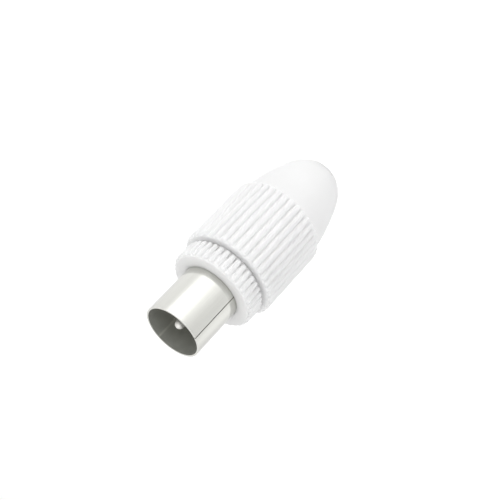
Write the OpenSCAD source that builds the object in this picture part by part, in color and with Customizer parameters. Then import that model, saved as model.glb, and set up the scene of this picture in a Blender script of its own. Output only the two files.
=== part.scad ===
// Coaxial aerial plug, standing on its cable end: a rolled sheet sleeve and a centre pin held in a
// ribbed collar, closed at the back by a bullet-shaped grip cap that screws on to the collar.
// The plug's axis is the Z axis, its mouth faces up and the collar's front face is at z = 0.

/* [Outer contact] */
// Outside diameter of the sleeve
sleeve_d = 9.53; // [9.2:0.01:10]
// Thickness of the sheet that the sleeve is rolled from
sheet_t = 0.3; // [0.2:0.02:0.4]
// Reach of the sleeve in front of the collar
sleeve_reach = 9.05; // [8:0.05:11]
// Width of the open butt seam
seam_w = 0.18; // [0.1:0.02:0.3]
// Angle of the seam from the left-hand side towards the front
seam_angle = 25.5; // [15:0.5:35]
// Radius of the groove rolled in to stop the insulator
bead_r = 0.3; // [0.2:0.02:0.4]
// How far the bent lugs stand out from the sleeve
lug_h = 1; // [0.8:0.05:1.2]
// Gap between neighbouring lugs, twice that between a lug and the trough
lug_gap = 1.6; // [1:0.1:2.4]
// Length of bare trough between the lugs and the first crimp ears
trough_lead = 3; // [2:0.1:4]
// Distance of the trough's edges behind the axis
trough_edge = 3; // [2.4:0.1:3.6]
// Length of each pair of crimp ears
ear_len = 2.6; // [1.8:0.1:3.4]
// Space between the two pairs of ears
ear_space = 1.2; // [0.8:0.1:2]
// Reach of the ears' tips in front of the axis
ear_rise = 2.2; // [1:0.1:2.8]
// Corner radius of the ears
ear_round = 0.6; // [0.2:0.1:0.8]

/* [Centre pin] */
// Diameter of the pin
pin_d = 2.37; // [2.2:0.01:2.6]
// Set-back of the pin's tip behind the sleeve's mouth
pin_recess = 1; // [0.5:0.05:2.5]
// Diameter of the ball that rounds the pin's tip
pin_nose_d = 1.44; // [1.2:0.02:1.8]
// Slope of the taper between the ball and the plain pin
pin_taper = 10; // [8:1:20]
// Diameter of the pin's stem inside the insulator
stem_d = 3.2; // [2.9:0.05:3.8]
// Diameter of the terminal barrel behind the insulator
barrel_d = 4.2; // [4:0.05:4.6]
// Length of the terminal barrel
barrel_len = 5; // [4.4:0.1:5.6]
// Diameter of the hole for the inner conductor
conductor_d = 1.3; // [0.9:0.05:1.6]
// Depth of the conductor hole
conductor_depth = 4; // [3:0.1:5]

/* [Terminal screw] */
// Diameter of the screw's shank
screw_d = 1.94; // [1.6:0.02:2.2]
// Diameter of the screw's head
head_d = 3.2; // [2.8:0.1:3.6]
// Height of the screw's head
head_h = 1; // [0.8:0.05:1.2]
// Width of the driver slot
slot_w = 0.45; // [0.3:0.05:0.6]
// Depth of the driver slot
slot_depth = 0.55; // [0.3:0.05:0.7]
// Gap under the head when the terminal is open
screw_open = 0.5; // [0.4:0.05:0.7]
// Distance of the screw from the barrel's back end
screw_inset = 2; // [1.8:0.05:2.4]

/* [Insulator] */
// Length of the insulator
insulator_len = 6; // [5:0.1:6.6]

/* [Collar] */
// Diameter over the collar's ribs
collar_d = 14.2; // [13.8:0.05:15]
// Length of the collar's head
collar_len = 3.25; // [2.6:0.05:4]
// Inset of the ribs from the head's front face
collar_inset = 0.15; // [0.05:0.05:0.4]
// Length of the slope at the head's back, where the grooves between the ribs run out
collar_slope = 1.1; // [0.6:0.05:1.5]
// Reach of the ribs' tips past the slope
collar_over = 0.15; // [0.05:0.05:0.2]
// Outside diameter of the threaded spigot
spigot_d = 12.3; // [12:0.05:12.6]
// Length of the threaded spigot
spigot_len = 5.3; // [4.8:0.05:6.2]
// Turn of the collar's ribs against the cap's
collar_turn = 2.9; // [0:0.1:9]

/* [Grip cap] */
// Diameter over the cap's ribs
grip_d = 15.88; // [15.5:0.02:16.6]
// Length of the cap
cap_len = 24.45; // [23:0.05:27]
// Length of the ribbed part
grip_len = 12.9; // [11:0.05:14]
// Length of the straight part before the dome begins
straight_len = 9.05; // [8:0.05:10.5]
// Diameter that the dome would have at the back without its rounded nose
dome_end_d = 8.3; // [7.8:0.1:9.4]
// Radius of the rounded nose
nose_r = 8.2; // [6:0.1:10]
// Wall of the dome
cap_wall = 1.3; // [1:0.05:1.5]
// Diameter of the cable hole
cable_hole_d = 6.5; // [5.8:0.05:7]
// Width of the flat rim round the cable hole
rim_w = 0.2; // [0.1:0.05:0.4]
// Gap between the collar's head and the cap
cap_gap = 0.6; // [0.3:0.05:1]

/* [Ribs] */
// Number of ribs around the cap and around the collar
rib_count = 40; // [32:1:44]
// Depth of the ribs' centre lines below the floor between them
rib_sink = 0.03; // [0.02:0.01:0.1]
// Width between neighbouring ribs at their centre lines
rib_floor = 0.24; // [0.12:0.02:0.36]

/* [Fits] */
// Radial clearance between pieces that are pushed together
slip = 0.03; // [0.02:0.01:0.05]
// Radial clearance between the spigot and the cap's threaded bore
thread_clear = 0.15; // [0.1:0.01:0.2]
// Clearance between the cap's shoulder and the lugs
seat_clear = 0.05; // [0.02:0.01:0.1]
// Radial clearance between the sleeve's ears and the cap's cavity
cavity_clear = 0.55; // [0.4:0.05:0.65]
// Radius on the moulded edges
edge_r = 0.2; // [0.1:0.05:0.3]

/* [Hidden] */
$fn = 120;
arc_fn = 720;
rib_fn = 32;
// How far cutters run past what they cut
over = 1;

sleeve_r = sleeve_d / 2;
sleeve_ri = sleeve_r - sheet_t;
pin_r = pin_d / 2;
stem_r = stem_d / 2;
barrel_r = barrel_d / 2;
screw_r = screw_d / 2;
spigot_r = spigot_d / 2;
hole_r = cable_hole_d / 2;

// Stations along the axis, from the collar's front face backwards
tube_end = collar_len + spigot_len;
lug_end = tube_end + sheet_t;
ears_start = lug_end + trough_lead;
trough_end = ears_start + 2 * ear_len + ear_space;
bead_z = bead_r;
insulator_start = bead_z + bead_r + sheet_t;
insulator_end = insulator_start + insulator_len;
barrel_end = insulator_end + barrel_len;
screw_z = barrel_end - screw_inset;
cap_start = collar_len + cap_gap;
shoulder_z = lug_end + seat_clear;
pin_tip = pin_recess - sleeve_reach;

// The pin's taper leaves its ball smoothly
pin_nose_r = pin_nose_d / 2;
taper_top = pin_nose_r * (1 - sin(pin_taper));
taper_top_r = pin_nose_r * cos(pin_taper);
taper_len = (pin_r - taper_top_r) / tan(pin_taper);

// Ribs are half sunk rods; their radius leaves the width between neighbours
function rib_r(outer_r) =
    let (half = sin(180 / rib_count)) (outer_r * half - rib_floor / 2) / (1 + half);
function floor_r(outer_r) = outer_r - rib_r(outer_r) + rib_sink;

grip_r = grip_d / 2;
grip_base_r = floor_r(grip_r);
collar_r = collar_d / 2;
collar_base_r = floor_r(collar_r);
bore_r = spigot_r + thread_clear;
cavity_r = sleeve_r + cavity_clear;

// The dome is a long arc that leaves the straight part smoothly and runs into a smaller nose arc,
// which meets the cable hole's rim at the cap's back end
dome_len = cap_len - straight_len;
dome_drop = grip_base_r - dome_end_d / 2;
dome_r = (dome_len ^ 2 + dome_drop ^ 2) / (2 * dome_drop);
dome_centre = [grip_base_r - dome_r, straight_len];
rim = [hole_r + rim_w, cap_len];
rim_span = norm(rim - dome_centre);
rim_dir = (rim - dome_centre) / rim_span;
nose_along = ((dome_r - nose_r) ^ 2 - nose_r ^ 2 + rim_span ^ 2) / (2 * rim_span);
nose_across = sqrt((dome_r - nose_r) ^ 2 - nose_along ^ 2);
nose_centre = dome_centre + nose_along * rim_dir + nose_across * [rim_dir.y, -rim_dir.x];
blend_dir = (nose_centre - dome_centre) / (dome_r - nose_r);

// Turns a shape that is built along Z, from the mouth to the cable end, so that its mouth faces up
module mouth_up() {
    rotate([0, 180, 0]) children();
}

// Half section of a disc with a rounded front edge
module front_rounded(r, length) {
    square([r - edge_r, length]);
    translate([0, edge_r]) square([r, length - edge_r]);
    translate([r - edge_r, edge_r]) circle(edge_r);
}

// One rib with ball ends, along Z
module rib(r, length) {
    $fn = rib_fn;
    translate([0, 0, r]) cylinder(r = r, h = length - 2 * r);
    for (z = [r, length - r]) translate([0, 0, z]) sphere(r);
}

module rib_ring(outer_r, start, length, turn) {
    r = rib_r(outer_r);
    for (i = [0 : rib_count - 1])
        rotate([0, 0, turn + (i + 0.5) * 360 / rib_count])
            translate([outer_r - r, 0, start]) rib(r, length);
}

// Half section of the cap's outside, drawn in from it by inset
module dome_area(inset) {
    blend_z = dome_centre.y + (dome_r - inset) * blend_dir.y;
    intersection() {
        union() {
            intersection() {
                translate(dome_centre) circle(dome_r - inset, $fn = arc_fn);
                square([grip_base_r, blend_z]);
            }
            translate(nose_centre) circle(nose_r - inset, $fn = arc_fn);
        }
        square([grip_base_r, cap_len]);
    }
}

module cap_section() {
    difference() {
        union() {
            front_rounded(grip_base_r, straight_len);
            dome_area(0);
        }
        translate([0, -over]) square([bore_r, shoulder_z - cap_start + over]);
        intersection() {
            dome_area(cap_wall);
            square([cavity_r, cap_len]);
        }
        square([hole_r, cap_len + over]);
    }
}

module grip_cap() {
    color("white") mouth_up() translate([0, 0, cap_start]) {
        rotate_extrude() cap_section();
        rib_ring(grip_r, 0, grip_len, 0);
    }
}

module collar() {
    slope_z = collar_len - collar_slope;
    color("white") mouth_up() {
        rotate_extrude() difference() {
            union() {
                front_rounded(collar_base_r, slope_z);
                polygon([[0, slope_z], [collar_base_r, slope_z], [spigot_r, collar_len], [0, collar_len]]);
                square([spigot_r, tube_end]);
            }
            translate([0, -over]) square([sleeve_r + slip, tube_end + 2 * over]);
        }
        rib_ring(collar_r, collar_inset, collar_len + collar_over - collar_inset, collar_turn);
    }
}

// Wall of the rolled tube with its stop bead
module sleeve_wall() {
    difference() {
        union() {
            translate([sleeve_ri, -sleeve_reach]) square([sheet_t, sleeve_reach + trough_end + over]);
            intersection() {
                translate([sleeve_r, bead_z]) circle(bead_r + sheet_t);
                translate([0, -sleeve_reach]) square([sleeve_r, sleeve_reach + tube_end]);
            }
        }
        translate([sleeve_r, bead_z]) circle(bead_r);
    }
}

// Side view of one pair of ears, with rounded tips
module ear_shape() {
    translate([0, ear_round - ear_rise]) square([ear_len, ear_rise + sleeve_r]);
    translate([ear_round, -ear_rise]) square([ear_len - 2 * ear_round, ear_rise + sleeve_r]);
    for (z = [ear_round, ear_len - ear_round]) translate([z, ear_round - ear_rise]) circle(ear_round);
}

// Side view of the sheet: the whole tube in front, then the trough and its ears
module sheet_outline() {
    half = sleeve_r + over;
    translate([-sleeve_reach - over, -half])
        square([sleeve_reach + over + tube_end + sheet_t / 2, 2 * half]);
    translate([0, trough_edge]) square([trough_end, half - trough_edge]);
    for (z = [ears_start, ears_start + ear_len + ear_space]) translate([z, 0]) ear_shape();
}

// One lug bent out of the sheet, over a span of angle
module lug(from, to) {
    inner = sleeve_r - sheet_t / 2;
    rotate([0, 0, from]) rotate_extrude(angle = to - from)
        translate([inner, tube_end]) square([sleeve_r + lug_h - inner, sheet_t]);
}

module contact_sleeve() {
    reach = sleeve_r + over;
    trough_half = acos(trough_edge / sleeve_r);
    gap_half = asin(lug_gap / 2 / sleeve_r);
    seam_sides = [-seam_angle, 180 + seam_angle];
    color("silver") mouth_up() {
        difference() {
            intersection() {
                rotate_extrude() sleeve_wall();
                rotate([0, -90, 0]) linear_extrude(2 * reach, center = true) sheet_outline();
            }
            rotate([0, 0, -seam_angle]) translate([0, -seam_w / 2, -sleeve_reach - over])
                cube([reach, seam_w, sleeve_reach + lug_end + 2 * over]);
        }
        lug(seam_sides[1] - 360 + gap_half, seam_sides[0] - gap_half);
        lug(seam_sides[0] + gap_half, 90 - trough_half - gap_half);
        lug(90 + trough_half + gap_half, seam_sides[1] - gap_half);
    }
}

module insulator() {
    color("ivory") mouth_up() rotate_extrude() difference() {
        translate([0, insulator_start]) square([sleeve_ri - slip, insulator_len]);
        translate([0, insulator_start - over]) square([stem_r + slip, insulator_len + 2 * over]);
    }
}

// Half section of the pin in front of its stem, from the tip
module pin_section() {
    length = insulator_start - pin_tip + over;
    intersection() {
        translate([0, pin_nose_r]) circle(pin_nose_r);
        square([pin_nose_r, taper_top]);
    }
    polygon([[0, taper_top], [taper_top_r, taper_top], [pin_r, taper_top + taper_len], [pin_r, length], [0, length]]);
}

module centre_pin() {
    color("silver") mouth_up() difference() {
        union() {
            translate([0, 0, pin_tip]) rotate_extrude() pin_section();
            translate([0, 0, insulator_start]) cylinder(r = stem_r, h = insulator_len + over);
            translate([0, 0, insulator_end]) cylinder(r = barrel_r, h = barrel_len);
        }
        translate([0, 0, barrel_end - conductor_depth]) cylinder(d = conductor_d, h = conductor_depth + over);
        translate([0, 0, screw_z]) rotate([90, 0, 0]) cylinder(r = screw_r + slip, h = barrel_r + over);
    }
}

module terminal_screw() {
    head_z = barrel_r + screw_open;
    tip_z = conductor_d / 2 + slip;
    color("silver") mouth_up() translate([0, 0, screw_z]) rotate([90, 0, 0]) difference() {
        union() {
            translate([0, 0, tip_z]) cylinder(r = screw_r, h = head_z - tip_z + head_h / 2);
            translate([0, 0, head_z]) cylinder(d = head_d, h = head_h);
        }
        translate([-head_d, -slot_w / 2, head_z + head_h - slot_depth])
            cube([2 * head_d, slot_w, slot_depth + over]);
    }
}

grip_cap();
collar();
contact_sleeve();
insulator();
centre_pin();
terminal_screw();
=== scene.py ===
# Coaxial aerial plug: dressed pieces, finishes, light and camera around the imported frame.
from math import acos, asin, atan2, ceil, cos, degrees, pi, radians, sin, sqrt, tan
import bmesh
import bpy
from mathutils import Matrix, Vector


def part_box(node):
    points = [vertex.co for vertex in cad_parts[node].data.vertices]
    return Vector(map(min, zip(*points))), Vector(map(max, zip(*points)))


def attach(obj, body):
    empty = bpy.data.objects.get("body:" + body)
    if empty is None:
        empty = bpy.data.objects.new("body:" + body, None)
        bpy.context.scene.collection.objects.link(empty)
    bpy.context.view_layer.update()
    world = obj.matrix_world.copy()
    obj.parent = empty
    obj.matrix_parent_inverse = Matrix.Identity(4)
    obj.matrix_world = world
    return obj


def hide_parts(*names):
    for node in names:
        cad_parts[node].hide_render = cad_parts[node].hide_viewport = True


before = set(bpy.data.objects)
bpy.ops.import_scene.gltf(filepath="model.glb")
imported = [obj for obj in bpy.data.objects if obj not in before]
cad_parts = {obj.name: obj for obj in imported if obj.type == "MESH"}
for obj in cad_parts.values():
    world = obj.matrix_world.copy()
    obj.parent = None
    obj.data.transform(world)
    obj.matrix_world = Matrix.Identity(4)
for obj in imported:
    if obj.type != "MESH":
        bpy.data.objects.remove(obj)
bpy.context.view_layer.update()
mm = 0.001  # pieces are drawn in millimetres and scaled once, as they become objects
smoothAngle = radians(32)  # edges sharper than this stay crisp
sliver = 0.002  # edges shorter than this, left by a cut or a bend, are closed up
onAxis = 1e-6  # a point of a profile nearer to the axis than this is on it
segments = 160  # steps round a moulded piece, four to a rib
turnedSegments = 96  # steps round the pin and the screw


def mmBox(node):
    low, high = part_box(node)
    return low / mm, high / mm


def addNode(tree, kind, inputs=None, **settings):
    node = tree.nodes.new(kind)
    for name, value in settings.items():
        setattr(node, name, value)
    for socket, value in (inputs or {}).items():
        if isinstance(value, bpy.types.NodeSocket):
            tree.links.new(value, node.inputs[socket])
        else:
            node.inputs[socket].default_value = value
    return node


# Colours and materials

def linearColour(hexText):
    parts = [int(hexText[i:i + 2], 16) / 255 for i in (1, 3, 5)]
    return [c / 12.92 if c < 0.04045 else ((c + 0.055) / 1.055) ** 2.4 for c in parts] + [1]


def newMaterial(name):
    material = bpy.data.materials.new(name)
    material.use_nodes = True
    material.node_tree.nodes.clear()
    return material, material.node_tree


def perMetre(size):
    return 1 / (size * mm)  # texture scale that repeats about every size, in millimetres


def unevenFinish(tree, finish, pattern, shade=None):
    # roughness follows the pattern over its spread; colour runs from dull to bright with the shade,
    # or with the pattern where no shade is given
    tint = addNode(tree, "ShaderNodeMix", {
        0: pattern if shade is None else shade,
        6: linearColour(finish["dull"]), 7: linearColour(finish["bright"])}, data_type="RGBA")
    start, end = finish["spread"]
    smoothest, roughest = finish["rough"]
    rough = addNode(tree, "ShaderNodeMapRange", {
        "Value": pattern, "From Min": start, "From Max": end, "To Min": smoothest, "To Max": roughest})
    return {"Base Color": tint.outputs[2], "Roughness": rough.outputs["Result"]}


def closeMaterial(tree, look):
    shader = addNode(tree, "ShaderNodeBsdfPrincipled", look)
    addNode(tree, "ShaderNodeOutputMaterial", {"Surface": shader.outputs["BSDF"]})


# Injection-moulded white ABS: a clean neutral white with a soft sheen, very slightly uneven, that
# lets light some way in, with a faint orange-peel skin from the polished mould.
mouldedAbs = {
    "bright": "#FCFCFC", "dull": "#F8F8F8", "cloud": 5.0, "spread": (0, 1), "rough": (0.34, 0.44),
    "skin": 0.35, "skinHeight": 0.0025, "skinStrength": 0.6,
    "ior": 1.53, "glow": 1.0, "glowReach": 0.9,
}


def mouldedAbsMaterial():
    material, tree = newMaterial("mouldedWhiteAbs")
    place = addNode(tree, "ShaderNodeTexCoord")
    cloud = addNode(tree, "ShaderNodeTexNoise", {
        "Vector": place.outputs["Object"], "Scale": perMetre(mouldedAbs["cloud"]), "Detail": 3.0})
    skin = addNode(tree, "ShaderNodeTexNoise", {
        "Vector": place.outputs["Object"], "Scale": perMetre(mouldedAbs["skin"]), "Detail": 2.0})
    bump = addNode(tree, "ShaderNodeBump", {
        "Strength": mouldedAbs["skinStrength"], "Distance": mouldedAbs["skinHeight"] * mm,
        "Height": skin.outputs["Fac"]})
    closeMaterial(tree, unevenFinish(tree, mouldedAbs, cloud.outputs["Fac"]) | {
        "IOR": mouldedAbs["ior"], "Subsurface Weight": mouldedAbs["glow"],
        "Subsurface Radius": (1, 1, 1), "Subsurface Scale": mouldedAbs["glowReach"] * mm,
        "Normal": bump.outputs["Normal"]})
    return material


# Nickel-plated rolled sheet brass: bright, a little warm, with fine lines along the axis from
# the roll and from being pushed in and out of sockets; drawn wider than real so that they show.
platedSheet = {
    "bright": "#D9D9D4", "dull": "#C9C9C4", "spread": (0.3, 0.7), "rough": (0.08, 0.15),
    "lineWidth": 0.16, "lineLength": 7.0, "lineHeight": 0.002, "lineStrength": 0.25,
}


def platedSheetMaterial():
    material, tree = newMaterial("nickelPlatedSheet")
    place = addNode(tree, "ShaderNodeTexCoord")
    across = perMetre(platedSheet["lineWidth"])
    along = perMetre(platedSheet["lineLength"])
    stretch = addNode(tree, "ShaderNodeMapping", {
        "Vector": place.outputs["Object"], "Scale": (across, across, along)})
    lines = addNode(tree, "ShaderNodeTexNoise", {
        "Vector": stretch.outputs["Vector"], "Scale": 1.0, "Detail": 3.0, "Roughness": 0.6})
    bump = addNode(tree, "ShaderNodeBump", {
        "Strength": platedSheet["lineStrength"], "Distance": platedSheet["lineHeight"] * mm,
        "Height": lines.outputs["Fac"]})
    closeMaterial(tree, unevenFinish(tree, platedSheet, lines.outputs["Fac"]) | {
        "Metallic": 1.0, "Normal": bump.outputs["Normal"]})
    return material


# The same sheet inside, painted a dull dark grey as painted shade for the dark inside of the tube, paler
# deep down than at the mouth as painted light against the deeper shade there, with a pale line along the
# wall across from the seam that is a painted reflection.
paintedShadeInside = {
    "bright": "#BFC0B8", "dull": "#9A9B95", "spread": (0.3, 0.7), "rough": (0.45, 0.55), "metal": 0.4,
    # the two heights bound the painted light deep down; the line colour, its bearing and its half width
    # make the painted reflection
    "mottle": 0.8, "mottleShare": 0.3, "paleHeight": 1.0, "darkHeight": 9.0,
    "line": "#BDBEB6", "paintedReflectionBearing": 51.3, "paintedReflectionHalf": 3.6,  # in degrees round the axis
}


def paintedShadeInsideMaterial():
    material, tree = newMaterial("paintedShadeInsideSheet")
    place = addNode(tree, "ShaderNodeTexCoord")
    mottle = addNode(tree, "ShaderNodeTexNoise", {
        "Vector": place.outputs["Object"], "Scale": perMetre(paintedShadeInside["mottle"]), "Detail": 4.0})
    point = addNode(tree, "ShaderNodeSeparateXYZ", {0: place.outputs["Object"]})
    # painted light: the colour grows paler from the mouth down into the tube, against the deeper shade
    # there
    depth = addNode(tree, "ShaderNodeMapRange", {
        "Value": point.outputs["Z"], "From Min": paintedShadeInside["darkHeight"] * mm,
        "From Max": paintedShadeInside["paleHeight"] * mm})
    shade = addNode(tree, "ShaderNodeMix", {
        0: paintedShadeInside["mottleShare"], 2: depth.outputs["Result"], 3: mottle.outputs["Fac"]})
    look = unevenFinish(tree, paintedShadeInside, mottle.outputs["Fac"], shade.outputs[0])
    # painted reflection: a pale line along the inside wall across from the seam
    bearing = addNode(tree, "ShaderNodeMath", {
        0: point.outputs["Y"], 1: point.outputs["X"]}, operation="ARCTAN2")
    turn = addNode(tree, "ShaderNodeMath", {
        0: bearing.outputs[0], 1: radians(paintedShadeInside["paintedReflectionBearing"])}, operation="SUBTRACT")
    away = addNode(tree, "ShaderNodeMath", {0: turn.outputs[0]}, operation="ABSOLUTE")
    line = addNode(tree, "ShaderNodeMapRange", {
        "Value": away.outputs[0], "From Max": radians(paintedShadeInside["paintedReflectionHalf"]),
        "To Min": 1.0, "To Max": 0.0}, interpolation_type="SMOOTHSTEP")
    withPaintedReflection = addNode(tree, "ShaderNodeMix", {
        0: line.outputs["Result"], 6: look["Base Color"], 7: linearColour(paintedShadeInside["line"])},
        data_type="RGBA")
    closeMaterial(tree, look | {"Base Color": withPaintedReflection.outputs[2], "Metallic": paintedShadeInside["metal"]})
    return material


# Nickel-plated turned brass: a satin plating over fine tool rings round the axis.
platedTurning = {
    "bright": "#D8D7D3", "dull": "#CCCBC7", "spread": (0.3, 0.7), "rough": (0.56, 0.68),
    "ringWidth": 0.09, "ringLength": 9.0, "ringHeight": 0.002, "ringStrength": 0.03,
}


def platedTurningMaterial():
    material, tree = newMaterial("nickelPlatedTurning")
    place = addNode(tree, "ShaderNodeTexCoord")
    around = perMetre(platedTurning["ringLength"])
    along = perMetre(platedTurning["ringWidth"])
    stretch = addNode(tree, "ShaderNodeMapping", {
        "Vector": place.outputs["Object"], "Scale": (around, around, along)})
    rings = addNode(tree, "ShaderNodeTexNoise", {
        "Vector": stretch.outputs["Vector"], "Scale": 1.0, "Detail": 2.0})
    bump = addNode(tree, "ShaderNodeBump", {
        "Strength": platedTurning["ringStrength"], "Distance": platedTurning["ringHeight"] * mm,
        "Height": rings.outputs["Fac"]})
    closeMaterial(tree, unevenFinish(tree, platedTurning, rings.outputs["Fac"]) | {
        "Metallic": 1.0, "Normal": bump.outputs["Normal"]})
    return material


# Natural polyethylene: waxy, a little cloudy and yellowish.
naturalPoly = {
    "bright": "#F2F0E8", "dull": "#E8E5DA", "cloud": 1.6, "spread": (0, 1), "rough": (0.38, 0.52),
    "ior": 1.51,
}


def naturalPolyMaterial():
    material, tree = newMaterial("naturalPolyethylene")
    place = addNode(tree, "ShaderNodeTexCoord")
    cloud = addNode(tree, "ShaderNodeTexNoise", {
        "Vector": place.outputs["Object"], "Scale": perMetre(naturalPoly["cloud"]), "Detail": 4.0})
    closeMaterial(tree, unevenFinish(tree, naturalPoly, cloud.outputs["Fac"]) | {
        "IOR": naturalPoly["ior"]})
    return material


# Zinc-plated steel: a bluish grey metal, darker and more mottled than the nickel.
zincSteel = {
    "bright": "#C6C9CC", "dull": "#A9ADB1", "mottle": 0.4, "spread": (0.3, 0.7), "rough": (0.24, 0.4),
}


def zincSteelMaterial():
    material, tree = newMaterial("zincPlatedSteel")
    place = addNode(tree, "ShaderNodeTexCoord")
    mottle = addNode(tree, "ShaderNodeTexNoise", {
        "Vector": place.outputs["Object"], "Scale": perMetre(zincSteel["mottle"]), "Detail": 4.0})
    closeMaterial(tree, unevenFinish(tree, zincSteel, mottle.outputs["Fac"]) | {"Metallic": 1.0})
    return material


whiteAbs = mouldedAbsMaterial()
sheetNickel = platedSheetMaterial()
# the inside of the sleeve: painted shade, with painted light deep down and a painted reflection
paintedShadeSheet = paintedShadeInsideMaterial()
turnedNickel = platedTurningMaterial()
polyethylene = naturalPolyMaterial()
zincedSteel = zincSteelMaterial()
print("materials made:", len(bpy.data.materials))


# Profiles and turned bodies

def arcPoints(centre, radius, start, end, steps):
    angles = [start + (end - start) * i / steps for i in range(steps + 1)]
    return [(centre[0] + radius * cos(a), centre[1] + radius * sin(a)) for a in angles]


def spaced(start, end, step):
    count = max(1, ceil(abs(end - start) / step))
    return [start + (end - start) * i / count for i in range(count + 1)]


def filleted(corners, steps=5):
    # corners are (r, z, fillet); each fillet becomes an arc tangent to its two sides
    points = []
    for i, (r, z, fillet) in enumerate(corners):
        corner = Vector((r, z))
        if not fillet:
            points.append(corner)
            continue
        before = (Vector(corners[i - 1][:2]) - corner).normalized()
        after = (Vector(corners[(i + 1) % len(corners)][:2]) - corner).normalized()
        half = before.angle(after) / 2
        middle = corner + (before + after).normalized() * fillet / sin(half)
        first = corner + before * fillet * cos(half) / sin(half) - middle
        turn = pi - 2 * half
        sign = 1 if first.x * after.y - first.y * after.x > 0 else -1
        for k in range(steps + 1):
            spin = Matrix.Rotation(sign * turn * k / steps, 2)
            points.append(middle + spin @ first)
    return points


def spinBody(profile, closed, steps=segments):
    # profile is (r, z) points; a point on the axis becomes a pole
    bm = bmesh.new()
    rings = []
    for r, z in profile:
        if r < onAxis:
            rings.append([bm.verts.new((0, 0, z))] * steps)
        else:
            turns = [2 * pi * k / steps for k in range(steps)]
            rings.append([bm.verts.new((r * cos(a), r * sin(a), z)) for a in turns])
    for ring, following in zip(rings, rings[1:] + (rings[:1] if closed else [])):
        for k in range(steps):
            after = (k + 1) % steps
            face = dict.fromkeys((ring[k], ring[after], following[after], following[k]))
            if len(face) > 2:
                bm.faces.new(face)
    bmesh.ops.recalc_face_normals(bm, faces=bm.faces)
    return bm


def newObject(name, bm):
    bmesh.ops.scale(bm, vec=(mm, mm, mm), verts=bm.verts)
    mesh = bpy.data.meshes.new(name)
    bm.to_mesh(mesh)
    bm.free()
    piece = bpy.data.objects.new(name, mesh)
    bpy.context.scene.collection.objects.link(piece)
    return piece


def bakeModifiers(piece):
    # swaps the piece's mesh for what its modifiers make of it
    graph = bpy.context.evaluated_depsgraph_get()
    made = bpy.data.meshes.new_from_object(piece.evaluated_get(graph))
    piece.modifiers.clear()
    old = piece.data
    piece.data = made
    bpy.data.meshes.remove(old)


def cutAway(piece, cutter):
    cut = piece.modifiers.new("cut", "BOOLEAN")
    cut.object = cutter
    cut.operation = "DIFFERENCE"
    cut.solver = "MANIFOLD"
    bakeModifiers(piece)
    # the cutter brings an empty material slot along
    for i in reversed([i for i, coat in enumerate(piece.data.materials) if not coat]):
        piece.data.materials.pop(index=i)
    mesh = cutter.data
    bpy.data.objects.remove(cutter)
    bpy.data.meshes.remove(mesh)


def closeSlivers(mesh):
    bm = bmesh.new()
    bm.from_mesh(mesh)
    bmesh.ops.remove_doubles(bm, verts=bm.verts, dist=sliver * mm)
    bmesh.ops.dissolve_degenerate(bm, edges=bm.edges, dist=sliver * mm)
    bm.to_mesh(mesh)
    bm.free()


def finishPiece(piece, material, body, node):
    closeSlivers(piece.data)
    if not piece.data.materials:
        piece.data.materials.append(material)
    piece.data.shade_smooth()
    piece.data.set_sharp_from_angle(angle=smoothAngle)
    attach(piece, body)
    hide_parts(node)
    print(piece.name, "faces:", len(piece.data.polygons))


# Geometry Nodes for ribs and threads

threadForm = {
    "crest": 0.1, "root": 0.38,  # where a flank begins and ends, in pitches from the crest's middle
    "runOut": 0.6,  # in pitches, over which the groove fades out at either end
    "wallBand": 0.01,  # points this near to the threaded cylinder take the groove
}


def newTree(name, inputs):
    tree = bpy.data.node_groups.new(name, "GeometryNodeTree")
    tree.interface.new_socket("Geometry", in_out="INPUT", socket_type="NodeSocketGeometry")
    tree.interface.new_socket("Geometry", in_out="OUTPUT", socket_type="NodeSocketGeometry")
    for label, kind in inputs.items():
        tree.interface.new_socket(label, in_out="INPUT", socket_type="NodeSocket" + kind)
    return tree, addNode(tree, "NodeGroupInput").outputs


def closeTree(tree, geometry, material):
    real = addNode(tree, "GeometryNodeRealizeInstances", {"Geometry": geometry})
    coated = addNode(tree, "GeometryNodeSetMaterial", {
        "Geometry": real.outputs["Geometry"], "Material": material})
    addNode(tree, "NodeGroupOutput", {"Geometry": coated.outputs["Geometry"]})


def runTree(piece, tree, values):
    modifier = piece.modifiers.new(tree.name, "NODES")
    modifier.node_group = tree
    for item in tree.interface.items_tree:
        if item.in_out == "INPUT" and item.name in values:
            modifier[item.identifier] = values[item.name]
    bakeModifiers(piece)


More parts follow.
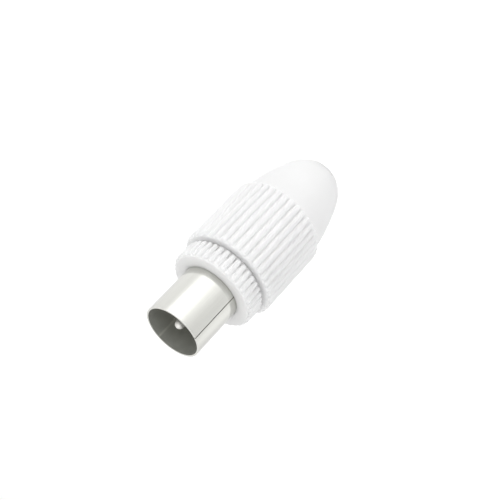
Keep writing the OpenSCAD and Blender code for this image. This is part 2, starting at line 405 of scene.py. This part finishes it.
def ribTree():
    # a ring of half-sunk rods with ball ends, joined to the body
    tree, given = newTree("gripRibs", {
        "Ribs": "Int", "Ring Radius": "Float", "Rib Radius": "Float", "Rib Length": "Float",
        "Front": "Float", "Turn": "Float", "Material": "Material"})
    place = addNode(tree, "GeometryNodeInputPosition")
    point = addNode(tree, "ShaderNodeSeparateXYZ", {0: place.outputs["Position"]})
    # a rod is a ball with its halves drawn apart
    ball = addNode(tree, "GeometryNodeMeshUVSphere", {
        "Segments": 28, "Rings": 15, "Radius": given["Rib Radius"]})
    half = addNode(tree, "ShaderNodeMath", {0: given["Rib Length"], 1: 0.5}, operation="MULTIPLY")
    reach = addNode(tree, "ShaderNodeMath", {
        0: half.outputs[0], 1: given["Rib Radius"]}, operation="SUBTRACT")
    side = addNode(tree, "ShaderNodeMath", {0: point.outputs["Z"]}, operation="SIGN")
    shift = addNode(tree, "ShaderNodeMath", {
        0: side.outputs[0], 1: reach.outputs[0]}, operation="MULTIPLY")
    stretch = addNode(tree, "ShaderNodeCombineXYZ", {"Z": shift.outputs[0]})
    rod = addNode(tree, "GeometryNodeSetPosition", {
        "Geometry": ball.outputs["Mesh"], "Offset": stretch.outputs["Vector"]})
    # the ring that the rods stand on, each turned to face outwards
    middle = addNode(tree, "ShaderNodeMath", {
        0: given["Front"], 1: half.outputs[0]}, operation="SUBTRACT")
    lift = addNode(tree, "ShaderNodeCombineXYZ", {"Z": middle.outputs[0]})
    spin = addNode(tree, "ShaderNodeCombineXYZ", {"Z": given["Turn"]})
    ring = addNode(tree, "GeometryNodeMeshCircle", {
        "Vertices": given["Ribs"], "Radius": given["Ring Radius"]})
    placed = addNode(tree, "GeometryNodeTransform", {
        "Geometry": ring.outputs["Mesh"], "Translation": lift.outputs["Vector"],
        "Rotation": spin.outputs["Vector"]})
    bearing = addNode(tree, "ShaderNodeMath", {
        0: point.outputs["Y"], 1: point.outputs["X"]}, operation="ARCTAN2")
    facing = addNode(tree, "ShaderNodeCombineXYZ", {"Z": bearing.outputs[0]})
    ribs = addNode(tree, "GeometryNodeInstanceOnPoints", {
        "Points": placed.outputs["Geometry"], "Instance": rod.outputs["Geometry"],
        "Rotation": facing.outputs["Vector"]})
    loose = addNode(tree, "GeometryNodeRealizeInstances", {"Geometry": ribs.outputs["Instances"]})
    joined = addNode(tree, "GeometryNodeMeshBoolean", operation="UNION", solver="MANIFOLD")
    tree.links.new(given["Geometry"], joined.inputs["Mesh 2"])
    tree.links.new(loose.outputs["Geometry"], joined.inputs["Mesh 2"])
    closeTree(tree, joined.outputs["Mesh"], given["Material"])
    return tree


def threadTree():
    # a right-handed groove along a helix, cut into a stretch of a cylinder;
    # Cut is signed, and positive outwards
    tree, given = newTree("screwThread", {
        "Radius": "Float", "Cut": "Float", "Pitch": "Float", "Top": "Float", "Bottom": "Float",
        "Run Out": "Float", "Material": "Material"})
    place = addNode(tree, "GeometryNodeInputPosition")
    point = addNode(tree, "ShaderNodeSeparateXYZ", {0: place.outputs["Position"]})
    flat = addNode(tree, "ShaderNodeCombineXYZ", {"X": point.outputs["X"], "Y": point.outputs["Y"]})
    outward = addNode(tree, "ShaderNodeVectorMath", {0: flat.outputs["Vector"]}, operation="NORMALIZE")
    radius = addNode(tree, "ShaderNodeVectorMath", {0: flat.outputs["Vector"]}, operation="LENGTH")
    onWall = addNode(tree, "ShaderNodeMath", {
        0: radius.outputs["Value"], 1: given["Radius"], 2: threadForm["wallBand"] * mm},
        operation="COMPARE")
    # place across the groove, from 0 on the crest to 0.5 in the root
    bearing = addNode(tree, "ShaderNodeMath", {
        0: point.outputs["Y"], 1: point.outputs["X"]}, operation="ARCTAN2")
    turn = addNode(tree, "ShaderNodeMath", {0: bearing.outputs[0], 1: 2 * pi}, operation="DIVIDE")
    rise = addNode(tree, "ShaderNodeMath", {
        0: point.outputs["Z"], 1: given["Pitch"]}, operation="DIVIDE")
    phase = addNode(tree, "ShaderNodeMath", {
        0: rise.outputs[0], 1: turn.outputs[0]}, operation="SUBTRACT")
    wave = addNode(tree, "ShaderNodeMath", {0: phase.outputs[0], 1: 0.5}, operation="PINGPONG")
    groove = addNode(tree, "ShaderNodeMapRange", {
        "Value": wave.outputs[0], "From Min": threadForm["crest"], "From Max": threadForm["root"]},
        interpolation_type="SMOOTHSTEP")
    # run-out towards both ends
    above = addNode(tree, "ShaderNodeMath", {
        0: point.outputs["Z"], 1: given["Bottom"]}, operation="SUBTRACT")
    below = addNode(tree, "ShaderNodeMath", {
        0: given["Top"], 1: point.outputs["Z"]}, operation="SUBTRACT")
    inside = addNode(tree, "ShaderNodeMath", {
        0: above.outputs[0], 1: below.outputs[0]}, operation="MINIMUM")
    fade = addNode(tree, "ShaderNodeMapRange", {
        "Value": inside.outputs[0], "From Max": given["Run Out"]}, interpolation_type="SMOOTHSTEP")
    depth = addNode(tree, "ShaderNodeMath", {
        0: groove.outputs["Result"], 1: fade.outputs["Result"]}, operation="MULTIPLY")
    cut = addNode(tree, "ShaderNodeMath", {0: depth.outputs[0], 1: given["Cut"]}, operation="MULTIPLY")
    move = addNode(tree, "ShaderNodeVectorMath", {
        0: outward.outputs["Vector"], "Scale": cut.outputs[0]}, operation="SCALE")
    cutBody = addNode(tree, "GeometryNodeSetPosition", {
        "Geometry": given["Geometry"], "Selection": onWall.outputs[0], "Offset": move.outputs["Vector"]})
    closeTree(tree, cutBody.outputs["Geometry"], given["Material"])
    return tree


gripRibs = ribTree()
screwThread = threadTree()
print("node trees made:", len(bpy.data.node_groups))


def rodRadius(sizes):
    # rods side by side under the diameter over the ribs, with ribFloor between neighbours
    half = sin(pi / sizes["ribs"])
    return (sizes["overRibs"] / 2 * half - sizes["ribFloor"] / 2) / (1 + half)


def bodyRadius(sizes):
    # the floor between the ribs, a little outside the rods' middles
    return sizes["overRibs"] / 2 - rodRadius(sizes) + sizes["ribSink"]


def addRibs(piece, sizes, front, material):
    rod = rodRadius(sizes)
    runTree(piece, gripRibs, {
        "Ribs": sizes["ribs"], "Ring Radius": (sizes["overRibs"] / 2 - rod) * mm, "Rib Radius": rod * mm,
        "Rib Length": sizes["ribLength"] * mm, "Front": front * mm,
        "Turn": radians(sizes["grooveTurn"] + 180 / sizes["ribs"]), "Material": material})


def addThread(piece, sizes, radius, cut, top, bottom, material):
    runTree(piece, screwThread, {
        "Radius": radius * mm, "Cut": cut * mm, "Pitch": sizes["pitch"] * mm, "Top": top * mm,
        "Bottom": bottom * mm, "Run Out": sizes["pitch"] * threadForm["runOut"] * mm,
        "Material": material})


# Grip cap

gripCap = {
    "ribs": 40, "overRibs": 15.88, "ribFloor": 0.24, "ribSink": 0.03, "ribLength": 12.9,
    "grooveTurn": 0,  # bearing of a groove, in degrees
    "straight": 9.05,  # before the dome begins
    "domeEnd": 8.3,  # diameter that the dome runs to without its nose
    "noseRadius": 8.2, "wall": 1.3,
    "hole": 6.5, "rim": 0.2,  # cable hole, and the flat that the plug stands on
    "bore": 12.4, "boreDepth": 5.05, "cavity": 10.63,
    "edge": 0.2, "softEdge": 0.06, "lead": 0.1,
    "pitch": 1.25, "threadDepth": 0.4, "threadStep": 0.065,
    "domeSteps": 30, "noseSteps": 20, "innerDomeSteps": 16, "innerNoseSteps": 12,
}


def capProfile(sizes, front, back):
    base = bodyRadius(sizes)
    length = front - back
    hole = sizes["hole"] / 2
    bore = sizes["bore"] / 2
    cavity = sizes["cavity"] / 2
    # the dome's long arc and the nose's shorter one, in distance behind the front
    domeLength = length - sizes["straight"]
    drop = base - sizes["domeEnd"] / 2
    domeRadius = (domeLength ** 2 + drop ** 2) / (2 * drop)
    dome = Vector((base - domeRadius, sizes["straight"]))
    nose = sizes["noseRadius"]
    rim = Vector((hole + sizes["rim"], length)) - dome
    along = ((domeRadius - nose) ** 2 - nose ** 2 + rim.length_squared) / (2 * rim.length)
    across = sqrt((domeRadius - nose) ** 2 - along ** 2)
    way = rim.normalized()
    nosePlace = dome + way * along + Vector((way.y, -way.x)) * across
    blend = atan2(nosePlace.y - dome.y, nosePlace.x - dome.x)
    rimTurn = asin((length - nosePlace.y) / nose)
    wall = sizes["wall"]
    innerStart = acos((cavity - dome.x) / (domeRadius - wall))
    innerEnd = acos((hole - nosePlace.x) / (nose - wall))
    outside = arcPoints(dome, domeRadius, 0, blend, sizes["domeSteps"])
    outside += arcPoints(nosePlace, nose, blend, rimTurn, sizes["noseSteps"])[1:]
    inside = arcPoints(dome, domeRadius - wall, innerStart, blend, sizes["innerDomeSteps"])
    inside += arcPoints(nosePlace, nose - wall, blend, innerEnd, sizes["innerNoseSteps"])[1:]
    lead = sizes["lead"]
    soft = sizes["softEdge"]
    corners = [(bore + lead, 0, soft), (base, 0, sizes["edge"])]
    corners += [(r, d, 0) for r, d in outside[:-1]]
    corners += [(*outside[-1], soft), (hole, length, soft)]
    corners += [(r, d, 0) for r, d in reversed(inside)]
    corners += [(cavity, sizes["boreDepth"], soft)]
    corners += [(bore, d, 0) for d in spaced(sizes["boreDepth"], lead, sizes["threadStep"])]
    return [(r, front - d) for r, d in filleted(corners)]


def makeGripCap():
    low, high = mmBox("grip_cap")
    front, back = high.z, low.z
    piece = newObject("gripCap", spinBody(capProfile(gripCap, front, back), closed=True))
    addThread(piece, gripCap, gripCap["bore"] / 2, gripCap["threadDepth"], front - gripCap["lead"],
              front - gripCap["boreDepth"], whiteAbs)
    addRibs(piece, gripCap, front, whiteAbs)
    finishPiece(piece, whiteAbs, "cap", "grip_cap")


# Collar with its threaded spigot

collar = {
    "ribs": 40, "overRibs": 14.2, "ribFloor": 0.24, "ribSink": 0.03, "ribLength": 3.25, "ribInset": 0.15,
    "grooveTurn": -2.9,  # bearing of a groove, in degrees
    "head": 3.25, "spigot": 12.3, "bore": 9.54,
    "slope": 1.1,  # at the head's back, where the grooves run out
    "edge": 0.2, "softEdge": 0.06, "boreEdge": 0.01, "lead": 0.35,
    "pitch": 1.25, "threadDepth": 0.4, "threadStep": 0.065, "threadLead": 0.8,
}


def makeCollar():
    low, high = mmBox("collar")
    front, back = high.z, low.z
    base = bodyRadius(collar)
    spigot = collar["spigot"] / 2
    bore = collar["bore"] / 2
    shoulder = front - collar["head"]
    soft = collar["softEdge"]
    tip = back + collar["lead"]
    corners = [(bore, front, collar["boreEdge"]), (base, front, collar["edge"])]
    corners += [(base, shoulder + collar["slope"], 0), (spigot, shoulder, soft)]
    corners += [(spigot, z, 0) for z in spaced(shoulder - 2 * soft, tip, collar["threadStep"])]
    corners += [(spigot - collar["lead"], back, soft), (bore, back, soft)]
    piece = newObject("collar", spinBody(filleted(corners), closed=True))
    addThread(piece, collar, spigot, -collar["threadDepth"], shoulder - collar["threadLead"], tip, whiteAbs)
    addRibs(piece, collar, front - collar["ribInset"], whiteAbs)
    finishPiece(piece, whiteAbs, "insert", "collar")


# Contact sleeve, folded from one sheet

sleeve = {
    "outside": 9.53, "sheet": 0.3, "tubeEnd": -8.55,
    "seamGap": 0.14, "seam": 205.9,  # the seam's bearing in degrees
    "bead": 0.3, "beadPlace": -0.44, "beadHalf": 0.36,
    "lugReach": 1.0, "lugs": [(215.2, 324.8), (344.2, 389.3), (510.7, 555.8)],  # bearings of their ends
    "lugRows": (0.35, 0.7, 1),  # in shares of the reach
    "troughEdge": 3.0, "trough": 90,  # bearing of its middle
    "earLead": 3.3, "ear": 2.6, "earSpace": 1.2, "earRise": 2.2, "earRound": 0.6,
    "turnStep": 2.5, "turnSlack": 0.01,  # in degrees
    "rowStep": 0.9, "beadStep": 0.07, "earStep": 0.22, "earSpaceStep": 0.6,
    "bendStep": pi / 8, "roundStep": pi / 12,
}


def sleevePoint(bearing, z):
    # on the middle of the sheet, which the bead draws in
    away = min(1, abs(z - sleeve["beadPlace"]) / sleeve["beadHalf"])
    r = (sleeve["outside"] - sleeve["sheet"]) / 2 - sleeve["bead"] * cos(pi / 2 * away) ** 2
    return r * cos(radians(bearing)), r * sin(radians(bearing)), z


def addSheet(bm, rows):
    # quads between rows of points, one row after another
    lines = [[bm.verts.new(p) for p in row] for row in rows]
    for line, following in zip(lines, lines[1:]):
        for k in range(len(line) - 1):
            bm.faces.new((line[k], line[k + 1], following[k + 1], following[k]))


def turnsBetween(start, end):
    return spaced(start, end, sleeve["turnStep"])


def bearingsWithin(bearings, start, end):
    return [b for b in bearings if start - sleeve["turnSlack"] < b < end + sleeve["turnSlack"]]


def addTube(bm, bearings, mouth):
    beadTop = sleeve["beadPlace"] + sleeve["beadHalf"]
    beadFoot = sleeve["beadPlace"] - sleeve["beadHalf"]
    heights = spaced(mouth, beadTop, sleeve["rowStep"])
    heights += spaced(beadTop, beadFoot, sleeve["beadStep"])[1:]
    heights += spaced(beadFoot, sleeve["tubeEnd"], sleeve["rowStep"])[1:]
    addSheet(bm, [[sleevePoint(b, z) for b in bearings] for z in heights])


def addLugs(bm, bearings):
    # bent out round the spigot's end
    radius = sleeve["outside"] / 2
    half = sleeve["sheet"] / 2
    foot = sleeve["tubeEnd"]
    bend = [(radius - half * cos(t), foot - half * sin(t)) for t in spaced(0, pi / 2, sleeve["bendStep"])]
    bend += [(radius + sleeve["lugReach"] * share, foot - half) for share in sleeve["lugRows"]]
    for start, end in sleeve["lugs"]:
        span = bearingsWithin(bearings, start, end)
        addSheet(bm, [[(r * cos(radians(b)), r * sin(radians(b)), z) for b in span] for r, z in bend])


def addTrough(bm, span, earTops, earRows):
    # with rows at the corners of both pairs of ears
    rows = spaced(sleeve["tubeEnd"], earTops[0], sleeve["rowStep"])[:-1] + earRows[0]
    rows += spaced(earRows[0][-1], earTops[1], sleeve["earSpaceStep"])[1:-1] + earRows[1]
    addSheet(bm, [[sleevePoint(b, z) for b in span] for z in rows])


def addEars(bm, troughHalf, earTops, earRows):
    # steps up an ear are (turn from the trough's middle, inset), narrowing round the tip's corners
    middle = sleeve["outside"] / 2 - sleeve["sheet"] / 2
    corner = sleeve["earRound"]
    square = sleeve["earRise"] - corner
    steps = [(turn, 0) for turn in turnsBetween(troughHalf, 90 + degrees(asin(square / middle)))]
    for t in spaced(0, pi / 2, sleeve["roundStep"])[1:]:
        steps.append((90 + degrees(asin((square + corner * sin(t)) / middle)), corner * (1 - cos(t))))
    for side in (-1, 1):
        for top, row in zip(earTops, earRows):
            shape = []
            for turn, inset in steps:
                share = 1 - 2 * inset / sleeve["ear"]
                heights = [top - inset - (top - z) * share for z in row]
                shape.append([sleevePoint(sleeve["trough"] + side * turn, z) for z in heights])
            addSheet(bm, shape)


def makeContactSleeve():
    mouth = mmBox("contact_sleeve")[1].z
    radius = sleeve["outside"] / 2
    seamHalf = degrees(sleeve["seamGap"] / 2 / radius)
    seamSides = [sleeve["seam"] + seamHalf, sleeve["seam"] + 360 - seamHalf]
    troughHalf = degrees(acos(sleeve["troughEdge"] / radius))
    troughSides = [sleeve["trough"] + 360 - troughHalf, sleeve["trough"] + 360 + troughHalf]
    # bearings round the tube, from one side of the seam to the other, with every corner among them
    corners = sorted(seamSides + troughSides + [b for lug in sleeve["lugs"] for b in lug])
    bearings = [corners[0]]
    for start, end in zip(corners, corners[1:]):
        bearings += turnsBetween(start, end)[1:]
    firstTop = sleeve["tubeEnd"] - sleeve["earLead"]
    earTops = [firstTop, firstTop - sleeve["ear"] - sleeve["earSpace"]]
    earRows = [spaced(top, top - sleeve["ear"], sleeve["earStep"]) for top in earTops]
    bm = bmesh.new()
    addTube(bm, bearings, mouth)
    addLugs(bm, bearings)
    addTrough(bm, bearingsWithin(bearings, *troughSides), earTops, earRows)
    addEars(bm, troughHalf, earTops, earRows)
    bmesh.ops.remove_doubles(bm, verts=bm.verts, dist=sliver)
    bmesh.ops.recalc_face_normals(bm, faces=bm.faces)
    bm.faces.ensure_lookup_table()
    first = bm.faces[0]
    if first.normal.dot(first.calc_center_median()) < 0:
        bmesh.ops.reverse_faces(bm, faces=bm.faces)
    piece = newObject("contactSleeve", bm)
    piece.data.materials.append(sheetNickel)
    # the second material is the painted shade of the sleeve's inside
    piece.data.materials.append(paintedShadeSheet)
    thick = piece.modifiers.new("sheet", "SOLIDIFY")
    thick.thickness = sleeve["sheet"] * mm
    thick.offset = 0
    thick.use_even_offset = True
    thick.material_offset = 1  # the inner faces take the second material
    bakeModifiers(piece)
    finishPiece(piece, sheetNickel, "insert", "contact_sleeve")


# Insulator

insulator = {"outside": 8.87, "bore": 3.26, "edge": 0.15}


def makeInsulator():
    low, high = mmBox("insulator")
    outer = insulator["outside"] / 2
    bore = insulator["bore"] / 2
    edge = insulator["edge"]
    corners = [(bore, high.z, edge), (outer, high.z, edge), (outer, low.z, edge), (bore, low.z, edge)]
    piece = newObject("insulator", spinBody(filleted(corners), closed=True))
    finishPiece(piece, polyethylene, "insert", "insulator")


# Centre pin with its terminal barrel

centrePin = {
    "pin": 2.37, "nose": 1.44, "noseStep": pi / 36,
    "taper": 10, "taperRound": 0.3,  # slope in degrees, and the rounding where it meets the pin
    "stem": 3.2, "stemTop": -0.9, "barrel": 4.2, "barrelTop": -6.9, "edge": 0.1,
    "conductor": 1.3, "conductorDepth": 4.0, "countersink": 0.2,
    "screwHole": 2.0, "screwHoleSteps": 48,
}


def alongFront(height):
    # lays what stands on the axis down at that height, pointing to the front
    return Matrix.Translation((0, 0, height)) @ Matrix.Rotation(pi / 2, 4, "X")


def makeCentrePin():
    low, high = mmBox("centre_pin")
    radius = centrePin["pin"] / 2
    stem = centrePin["stem"] / 2
    stemTop = centrePin["stemTop"]
    barrel = centrePin["barrel"] / 2
    barrelTop = centrePin["barrelTop"]
    wire = centrePin["conductor"] / 2
    wireEnd = low.z + centrePin["conductorDepth"]
    nose = centrePin["nose"] / 2
    slope = radians(centrePin["taper"])
    edge = centrePin["edge"]
    sink = centrePin["countersink"]
    # a ball end, then a taper out to the pin's full width
    turns = spaced(0, pi / 2 - slope, centrePin["noseStep"])
    corners = [(nose * sin(t), high.z - nose * (1 - cos(t)), 0) for t in turns]
    ballSide, ballFoot = corners[-1][:2]
    corners += [(radius, ballFoot - (radius - ballSide) / tan(slope), centrePin["taperRound"])]
    corners += [(radius, stemTop, 0), (stem, stemTop, edge)]
    corners += [(stem, barrelTop, 0), (barrel, barrelTop, edge)]
    corners += [(barrel, low.z, edge), (wire + sink, low.z, 0), (wire, low.z + sink, 0)]
    corners += [(wire, wireEnd, 0), (0, wireEnd, 0)]
    piece = newObject("centrePin", spinBody(filleted(corners), closed=False, steps=turnedSegments))
    hole = centrePin["screwHole"] / 2
    reach = 3 * barrel  # well past the barrel's wall
    drill = spinBody([(0, 0), (hole, 0), (hole, reach), (0, reach)], closed=False,
                     steps=centrePin["screwHoleSteps"])
    screwLow, screwHigh = mmBox("terminal_screw")
    bmesh.ops.transform(drill, matrix=alongFront((screwLow.z + screwHigh.z) / 2), verts=drill.verts)
    cutAway(piece, newObject("drill", drill))
    finishPiece(piece, turnedNickel, "insert", "centre_pin")


# Terminal screw, made upright and then laid along the front

terminalScrew = {
    "shank": 1.94, "head": 3.2, "headHeight": 1.0, "slot": 0.45, "slotDepth": 0.55,
    "edge": 0.18, "underEdge": 0.05, "neck": 0.05,
    "point": 0.2,  # chamfer at the tip
    "pitch": 0.4, "threadDepth": 0.16, "threadStep": 0.025, "threadLead": 0.1,
}


def makeTerminalScrew():
    low, high = mmBox("terminal_screw")
    top = -low.y  # heights along the screw run outwards from the plug's axis
    tip = -high.y
    seat = top - terminalScrew["headHeight"]
    shank = terminalScrew["shank"] / 2
    head = terminalScrew["head"] / 2
    point = terminalScrew["point"]
    corners = [(0, top, 0), (head, top, terminalScrew["edge"])]
    corners += [(head, seat, terminalScrew["underEdge"]), (shank, seat, 0)]
    rows = spaced(seat - terminalScrew["neck"], tip + point, terminalScrew["threadStep"])
    corners += [(shank, z, 0) for z in rows]
    corners += [(shank - point, tip, 0), (0, tip, 0)]
    piece = newObject("terminalScrew", spinBody(filleted(corners), closed=False, steps=turnedSegments))
    addThread(piece, terminalScrew, shank, -terminalScrew["threadDepth"],
              seat - terminalScrew["threadLead"], tip + point / 2, zincedSteel)
    # a blade longer than the head is wide, and half sunk in it, cuts the slot
    blade = bmesh.new()
    bmesh.ops.create_cube(blade, size=1)
    bladeSize = (3 * head, terminalScrew["slot"], 2 * terminalScrew["slotDepth"])
    bmesh.ops.scale(blade, vec=bladeSize, verts=blade.verts)
    bmesh.ops.translate(blade, vec=(0, 0, top), verts=blade.verts)
    cutAway(piece, newObject("blade", blade))
    piece.data.transform(alongFront((low.z + high.z) / 2 * mm))
    finishPiece(piece, zincedSteel, "screw", "terminal_screw")


makeGripCap()
makeCollar()
makeContactSleeve()
makeInsulator()
makeCentrePin()
makeTerminalScrew()
print("pieces made")


# Floor, light and camera

view = {
    "aim": -9.79,  # height on the plug's axis that the lens points at
    "azimuth": -25.58, "elevation": 30.45, "roll": -136.63, "distance": 181.6,
    "lens": 86.2, "sensor": 36, "clipStart": 1,
}

studio = {
    "floorSide": 6000, "floorShade": "#FAFAFA",
    "floorSeen": 0.54, "floorMirrored": 0.28,  # lift of the floor's white for the lens and for the plating
    "skyFill": 0.41, "skySeen": 1.12,  # strength as light, and as the lens and the plating see it
    # each lamp's bearing round the plug, distance, height, side and power in watts; a low lamp
    # that faces down makes a pool of light on the floor, for the plated sleeve to mirror
    "lamps": {
        "softbox": {"bearing": -66, "away": 170, "height": 40, "side": 80, "power": 0.078},
        "overhead": {"bearing": 0, "away": 0, "height": 240, "side": 160, "power": 0.18, "down": True},
        "fill": {"bearing": 190, "away": 420, "height": 30, "side": 240, "power": 0.56},
        "frontPool": {"bearing": -78, "away": 81, "height": -17, "side": 77, "power": 0.0152, "down": True},
        "sidePool": {"bearing": -118, "away": 64, "height": -4, "side": 36, "power": 0.003, "down": True},
        "nearPool": {"bearing": -82, "away": 25, "height": -19, "side": 16, "power": 0.0005, "down": True},
        "rightPool": {"bearing": -2, "away": 64, "height": 6, "side": 48, "power": 0.0043, "down": True},
        "backPool": {"bearing": 143, "away": 68, "height": -10, "side": 46, "power": 0.0035, "down": True},
    },
}


def raysSeen(tree):
    # whether a ray comes straight from the lens, and whether by way of metal or glass
    path = addNode(tree, "ShaderNodeLightPath")
    mirrored = addNode(tree, "ShaderNodeMath", {
        0: path.outputs["Is Glossy Ray"], 1: path.outputs["Is Transmission Ray"]}, operation="MAXIMUM")
    return path.outputs["Is Camera Ray"], mirrored.outputs[0]


def makeFloor():
    height = mmBox("grip_cap")[0].z
    bm = bmesh.new()
    bmesh.ops.create_grid(bm, x_segments=1, y_segments=1, size=studio["floorSide"] / 2)
    bmesh.ops.translate(bm, vec=(0, 0, height), verts=bm.verts)
    floor = newObject("floor", bm)
    material, tree = newMaterial("paleFloor")
    direct, mirrored = raysSeen(tree)
    seen = addNode(tree, "ShaderNodeMath", {0: direct, 1: studio["floorSeen"]}, operation="MULTIPLY")
    lift = addNode(tree, "ShaderNodeMath", {
        0: mirrored, 1: studio["floorMirrored"], 2: seen.outputs[0]}, operation="MULTIPLY_ADD")
    closeMaterial(tree, {
        "Base Color": linearColour(studio["floorShade"]), "Roughness": 0.9, "Specular IOR Level": 0.0,
        "Emission Color": (1, 1, 1, 1), "Emission Strength": lift.outputs[0]})
    floor.data.materials.append(material)


def makeSky():
    world = bpy.data.worlds.new("paleRoom")
    world.use_nodes = True
    tree = world.node_tree
    tree.nodes.clear()
    direct, mirrored = raysSeen(tree)
    seen = addNode(tree, "ShaderNodeMath", {0: direct, 1: mirrored}, operation="MAXIMUM")
    strength = addNode(tree, "ShaderNodeMapRange", {
        "Value": seen.outputs[0], "To Min": studio["skyFill"], "To Max": studio["skySeen"]})
    sky = addNode(tree, "ShaderNodeBackground", {
        "Color": (1, 1, 1, 1), "Strength": strength.outputs["Result"]})
    addNode(tree, "ShaderNodeOutputWorld", {"Surface": sky.outputs["Background"]})
    bpy.context.scene.world = world


def makeLamps():
    for name, sizes in studio["lamps"].items():
        lamp = bpy.data.lights.new(name, "AREA")
        lamp.shape = "SQUARE"
        lamp.size = sizes["side"] * mm
        lamp.energy = sizes["power"]
        light = bpy.data.objects.new(name, lamp)
        turn = radians(sizes["bearing"])
        away = sizes["away"]
        light.location = Vector((away * cos(turn), away * sin(turn), sizes["height"])) * mm
        if sizes.get("down"):
            light.rotation_euler.z = turn + pi / 4  # a corner towards the plug
        else:
            aim = Vector((0, 0, view["aim"] * mm)) - light.location
            light.rotation_euler = aim.to_track_quat("-Z", "Y").to_euler()
        bpy.context.scene.collection.objects.link(light)


def makeCamera():
    turn = radians(view["azimuth"])
    lift = radians(view["elevation"])
    roll = radians(view["roll"])
    back = Vector((sin(turn) * cos(lift), -cos(turn) * cos(lift), sin(lift)))
    level = Vector((cos(turn), sin(turn), 0))
    right = level * cos(roll) + back.cross(level) * sin(roll)
    lens = bpy.data.cameras.new("camera")
    lens.lens = view["lens"]
    lens.sensor_width = view["sensor"]
    lens.clip_start = view["clipStart"] * mm
    camera = bpy.data.objects.new("camera", lens)
    axes = Matrix((right, back.cross(right), back)).transposed().to_4x4()
    place = (Vector((0, 0, view["aim"])) + back * view["distance"]) * mm
    camera.matrix_world = Matrix.Translation(place) @ axes
    bpy.context.scene.collection.objects.link(camera)
    bpy.context.scene.camera = camera


makeFloor()
makeSky()
makeLamps()
makeCamera()
bpy.context.scene.view_settings.view_transform = "Standard"
print("floor, light and camera made")
